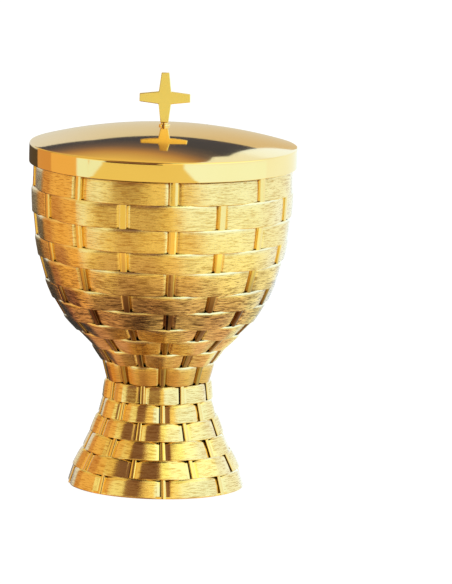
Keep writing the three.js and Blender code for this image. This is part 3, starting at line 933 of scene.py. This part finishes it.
# Mirror-polished gilding: buffed until it mirrors, with a faint swirl of hairlines from cloths.
MIRROR_SWELL = 22 * MM
HAIRLINE = 0.35 * MM
mirror_gilt, tree, place = new_metal("mirror-polished gilding")
swell = noise(tree, place, MIRROR_SWELL, 1)
hairs = noise(tree, place, HAIRLINE, 2, Distortion=1.5)
rough = ranged(tree, hairs, (0.35, 0.7), (0.03, 0.09))
tone = blended(tree, swell, "#F9D586", "#FCDD96")
bump = bumped(tree, swell, 0.3, 0.15 * MM)
bump = bumped(tree, hairs, 0.1, 0.004 * MM, Normal=bump)
end_metal(tree, tone, rough, bump)
lid_dome.data.materials.append(mirror_gilt)
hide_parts("lid_shell")
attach(lid_dome, "lid")

LOCATING_WALL = 0.9 * MM
BRAZE_GAP = 0.25 * MM
ring_low, ring_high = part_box("lid_locating_ring")
locating_inner = ring_high.x - LOCATING_WALL
locating_ring = turned("lid_locating_ring_turned", [
    (ring_high.x, ring_low.z, EDGE),
    (ring_high.x, dome_height(ring_high.x, LID_WALL) - BRAZE_GAP),
    (locating_inner, dome_height(locating_inner, LID_WALL) - BRAZE_GAP),
    (locating_inner, ring_low.z, EDGE),
])
locating_ring.data.materials.append(spun_gilt)
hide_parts("lid_locating_ring")
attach(locating_ring, "lid")


# Cross and post: a flat plate cross, filed with a fine bevel and buffed, brazed on end to a small
# turned collar. The collar is in one with an M3 stud, which a washer and a domed nut hold under
# the lid.
CROSS_THICKNESS = 1.8 * MM
CROSS_BEVEL = 0.32 * MM
CROSS_FACE = -CROSS_THICKNESS / 2
CROSS_ARM_HEIGHT = 163.9 * MM
CROSS_END = 1.7 * MM
CROSS_MIDDLE = 2.65 * MM
POST_RADIUS = 1.5 * MM
POST_PITCH = 0.5 * MM
POST_THREAD = 0.18 * MM
COLLAR_HEIGHT = 0.8 * MM
COLLAR_ROUND = 0.3 * MM
CAP_ROUND_STEPS = 6

cross_low, cross_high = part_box("cross_finial")
span = cross_high.x
up, down = cross_high.z - CROSS_ARM_HEIGHT, cross_low.z - CROSS_ARM_HEIGHT
shape = bmesh.new()
corners = [
    (CROSS_END, up), (-CROSS_END, up), (-CROSS_MIDDLE, CROSS_MIDDLE), (-span, CROSS_END),
    (-span, -CROSS_END), (-CROSS_MIDDLE, -CROSS_MIDDLE), (-CROSS_END, down), (CROSS_END, down),
    (CROSS_MIDDLE, -CROSS_MIDDLE), (span, -CROSS_END), (span, CROSS_END),
    (CROSS_MIDDLE, CROSS_MIDDLE),
]
face = shape.faces.new([shape.verts.new((x, CROSS_FACE, CROSS_ARM_HEIGHT + z))
                        for x, z in corners])
made = bmesh.ops.extrude_face_region(shape, geom=[face])["geom"]
back_verts = [item for item in made if isinstance(item, bmesh.types.BMVert)]
bmesh.ops.translate(shape, verts=back_verts, vec=(0, CROSS_THICKNESS, 0))
bmesh.ops.recalc_face_normals(shape, faces=shape.faces)
bmesh.ops.bevel(shape, geom=list(shape.edges), offset=CROSS_BEVEL, segments=3, profile=0.6,
                affect="EDGES")
mesh = bpy.data.meshes.new("cross_plate")
shape.to_mesh(mesh)
shape.free()
cross_plate = finished("cross_plate", mesh)

post_low, post_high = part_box("cross_post")
collar_radius = post_high.x
cross_post = threaded_rod("cross_post_turned", POST_RADIUS, post_low.z, DOME_TOP, POST_PITCH,
                          POST_THREAD, top_head=softened([
                              (collar_radius, DOME_TOP),
                              (collar_radius, DOME_TOP + COLLAR_HEIGHT, COLLAR_ROUND),
                              (POST_RADIUS, DOME_TOP + COLLAR_HEIGHT),
                              (POST_RADIUS, post_high.z),
                              (POST_RADIUS / 2, post_high.z),
                          ]))

# Buffed plate gilding on the cross: paler than the lid, because it was rubbed by hand, and softly
# mottled.
PLATE_SPOT = 0.9 * MM
plate_gilt, tree, place = new_metal("hand-rubbed plate gilding")
mottle_and_edge_highlight = noise(tree, place, PLATE_SPOT, 2)
tone = blended(tree, mottle_and_edge_highlight, "#FBDE92", "#FFF4B4")
rough = ranged(tree, mottle_and_edge_highlight, NOISE_SPAN, (0.08, 0.18))
bump = bumped(tree, mottle_and_edge_highlight, 0.5, 0.01 * MM)
end_metal(tree, tone, rough, bump)
for piece, node, finish in ((cross_plate, "cross_finial", plate_gilt),
                            (cross_post, "cross_post", mirror_gilt)):
    piece.data.materials.append(finish)
    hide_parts(node)
    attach(piece, "lid")

lid_washer_low, lid_washer_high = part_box("lid_washer")
lid_washer = turned("lid_washer_turned", [
    (POST_HOLE, lid_washer_low.z),
    (lid_washer_high.x, lid_washer_low.z, FINE_EDGE),
    (lid_washer_high.x, lid_washer_high.z, FINE_EDGE),
    (POST_HOLE, lid_washer_high.z),
], segments=SMALL_SEGMENTS)
cap_low, cap_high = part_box("lid_cap_nut")
CAP_HEX = 5.5 * MM
CAP_HEX_HEIGHT = 2.6 * MM
CAP_RADIUS = 2.6 * MM
cap_shoulder = cap_high.z - CAP_HEX_HEIGHT
cap_height = cap_shoulder - cap_low.z
cap_rises = [math.pi / 2 * step / CAP_ROUND_STEPS for step in range(CAP_ROUND_STEPS)]
cap_nut = hex_nut("lid_cap_nut_domed", CAP_HEX, cap_shoulder, cap_high.z, POST_RADIUS + THREAD_GAP,
                  cap=[(CAP_RADIUS * math.cos(a), cap_shoulder - cap_height * math.sin(a))
                       for a in cap_rises])
for piece, node in ((lid_washer, "lid_washer"), (cap_nut, "lid_cap_nut")):
    piece.data.materials.append(spun_gilt)
    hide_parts(node)
    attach(piece, "lid")


# Studio: a plain white floor, and large soft reflectors round the piece. A pale wall stands on the
# right from beside the camera to behind the piece, a lamp on the left, and warm dim walls between.
FLOOR_HALF = 30
FLOOR_LEVEL = -0.2 * MM
PAPER_GLOW = 0.97
floor_mesh = bpy.data.meshes.new("floor")
floor_mesh.from_pydata([(x * FLOOR_HALF, y * FLOOR_HALF, FLOOR_LEVEL)
                        for x, y in ((-1, -1), (1, -1), (1, 1), (-1, 1))], [], [(0, 1, 2, 3)])
floor = linked("floor", floor_mesh)
floor.visible_glossy = False
white_paper, tree = empty_material("white background paper")
shader = add(tree, "ShaderNodeBsdfPrincipled", {
    "Base Color": linear("#5A5A5A"), "Roughness": 0.9, "Emission Color": (1, 1, 1, 1),
    "Emission Strength": PAPER_GLOW})
add(tree, "ShaderNodeOutputMaterial", {"Surface": shader})
floor_mesh.materials.append(white_paper)

# What the gilding mirrors. Each row of walls goes from a low to a high angle above the level, and
# each wall in it up to an angle round the piece from where the last one ends. The angles grow to
# the right from the camera, and start at -180. The thin row just below the level is dark in front,
# and draws the dark line along the lid's edge.
STUDIO_STRENGTH = 2
WHITE_STRENGTH = 1.2
WALL_EDGE = 0.6
LEFT_WALLS = [(-137, "#3C342C"), (-112, "#9F774A"), (-79, "#B2905A")]
STUDIO = [
    (-90, -66, [(-60, "#705840"), (15, "#2E2830"), (90, "#A49878"), (180, "#AC9C88")]),
    (-58, -40, [(-130, "#94705C"), (-80, "#9C785C"), (-30, "#7C6250"), (10, "#7C5C46"),
                (40, "#A48A6C"), (100, "#A68C6C"), (180, "#B49A80")]),
    (-34, -22, [(-137, "#2A3038"), (-112, "#754C40"), (-79, "#B78F4F"), (-52, "#C1AE70"),
                (-12, "#AE9569"), (30, "#C0AB6F"), (100, "#CCD2A0"), (180, "#BEC3A6")]),
    (-16, -5.2, [*LEFT_WALLS, (-66, "#B4C8D2"), (31, "#B1A671"), (100, "#BAD0E3"),
                 (180, "#BACADB")]),
    (-4.8, -3.6, [*LEFT_WALLS, (-63, "#B4C8D2"), (-10, "#3A2C24"), (31, "#B1A671"),
                  (180, "#BACADB")]),
    (2, 25, [*LEFT_WALLS, (-52, "#B8B890"), (-4, "#6C5240"), (18, "#C0AE74"), (100, "#BAD0E3"),
             (180, "#BACADB")]),
    (29, 54, [(-130, "#2A2622"), (-51, "#AC965C"), (-1, "#5E463A"), (9, "#A8946A"),
              (37, "#CDD8A0"), (110, "#D1E0CF"), (180, "#B5BFC4")]),
    (62, 90, [(-115, "#C8B884"), (50, "#1E1A18"), (180, "#D0CCA4")]),
]
# The warm wall in front narrows upwards, by this many degrees on each side over these heights.
WARM_NARROWS = 13
WARM_HEIGHTS = (-12, -6.5)
WARM_REACH = 66.7
WARM_ROWS = (-16, 0)
# Behind the piece hangs a paper backdrop, greyer to the left. Above its top edge is the dark of the
# room, and above that the warm glow of the lamp overhead, which comes lower on the left.
PAPER = [(-9, "#A8ABB0"), (-3, "#A4A194"), (5, "#A2957B")]
PAPER_TOP = (17.5, 20.6)
PAPER_TOP_FROM = (-8.5, -5.5)
PAPER_LEFT = (-45, -40)
PAPER_FOOT = (-7, -4)
PALE_EDGE = (6.1, 4.9)
PALE_EDGE_FROM = (31.5, 33.5)
ROOM = [(17, "#343644"), (26, "#343644"), (29, "#423E47"), (31.5, "#54494B"), (34, "#755D4B"),
        (36, "#8E724E"), (38.5, "#9A8457"), (42, "#AD985F")]
GLOW_LEAN = 0.8

world = bpy.data.worlds.new("studio")
bpy.context.scene.world = world
world.use_nodes = True
tree = world.node_tree
tree.nodes.clear()
direction = add(tree, "ShaderNodeTexCoord").outputs["Generated"]
split = xyz(tree, direction)
forward = product(tree, split["Y"], -1)
azimuth = maths(tree, "DEGREES", maths(tree, "ARCTAN2", split["X"], forward))
height = maths(tree, "DEGREES", maths(tree, "ARCSINE", split["Z"]))


def ramp(label, angle, low, high, stops):
    """Colours over an angle in degrees, each at its own stop."""
    share = ranged(tree, angle, (low, high))
    made = add(tree, "ShaderNodeValToRGB", {0: share}, label=label)
    elements = made.color_ramp.elements
    while len(elements) < len(stops):
        elements.new(1)
    for element, (degrees, colour) in zip(elements, stops):
        element.position = (degrees - low) / (high - low)
    for element, (degrees, colour) in zip(elements, stops):
        element.color = linear(colour)
    return made.outputs["Color"]


above = ranged(tree, height, WARM_HEIGHTS, (0, WARM_NARROWS))
in_front = maths(tree, "LESS_THAN", maths(tree, "ABSOLUTE", azimuth), WARM_REACH)
narrowing = product(tree, above, maths(tree, "SIGN", azimuth), in_front)
level_azimuth = maths(tree, "ADD", azimuth, narrowing)

mixed = None
for low, high, stretches in STUDIO:
    stops, first = [], -180
    for last, colour in stretches:
        stops += [(first + WALL_EDGE, colour), (last - WALL_EDGE, colour)]
        first = last
    angle = level_azimuth if WARM_ROWS[0] <= low < WARM_ROWS[1] else azimuth
    row = ramp(f"from {low}", angle, -180, 180, stops)
    if mixed:
        over = ranged(tree, height, (reached, low), interpolation_type="SMOOTHSTEP")
        row = blended(tree, over, mixed, row)
    mixed, reached = row, high
behind = maths(tree, "DEGREES", maths(tree, "ARCTAN2", split["X"], split["Y"]))
paper = ramp("backdrop", behind, -45, 45, PAPER)
leaning = maths(tree, "MULTIPLY_ADD", behind, -GLOW_LEAN, height)
room = ramp("room above", leaning, 0, 90, ROOM)
paper_top = ranged(tree, behind, PAPER_TOP_FROM, PAPER_TOP)
above = maths(tree, "GREATER_THAN", height, paper_top)
backdrop = blended(tree, above, paper, room)
# The pale wall's edge cuts the backdrop off on the right, a little sooner above than below.
pale_edge = ranged(tree, height, PALE_EDGE_FROM, PALE_EDGE)
hangs = product(tree, maths(tree, "LESS_THAN", behind, pale_edge),
                ranged(tree, behind, PAPER_LEFT), ranged(tree, height, PAPER_FOOT))
mixed = blended(tree, hangs, mixed, backdrop)
reflectors = add(tree, "ShaderNodeBackground", {"Color": mixed, "Strength": STUDIO_STRENGTH})
white = add(tree, "ShaderNodeBackground", {"Color": (1, 1, 1, 1), "Strength": WHITE_STRENGTH})
seen = add(tree, "ShaderNodeLightPath").outputs["Is Camera Ray"]
shader = add(tree, "ShaderNodeMixShader", {0: seen, 1: reflectors, 2: white})
add(tree, "ShaderNodeOutputWorld", {"Surface": shader})

# Camera: a long lens from a step away, a little above the lid, tilted a touch to the right as the
# photograph is. Its aim is to the right of the piece, which stands left of the middle.
CAMERA_DISTANCE = 3.0
CAMERA_RISE = math.radians(9.06)
CAMERA_ROLL = math.radians(1.5)
LENS = 440.7
SENSOR = 36
AIM = Vector((27.6 * MM, 0, 82.4 * MM))
lens_data = bpy.data.cameras.new("camera")
lens_data.lens = LENS
lens_data.sensor_width = SENSOR
lens_data.clip_end = 2 * FLOOR_HALF
camera = linked("camera", lens_data)
back_along = Vector((0, -math.cos(CAMERA_RISE), math.sin(CAMERA_RISE)))
camera.location = AIM + back_along * CAMERA_DISTANCE
camera.rotation_mode = "QUATERNION"
camera.rotation_quaternion = ((-back_along).to_track_quat("-Z", "Y")
                              @ Quaternion((0, 0, 1), CAMERA_ROLL))
bpy.context.scene.camera = camera
bpy.context.scene.view_settings.view_transform = "Standard"
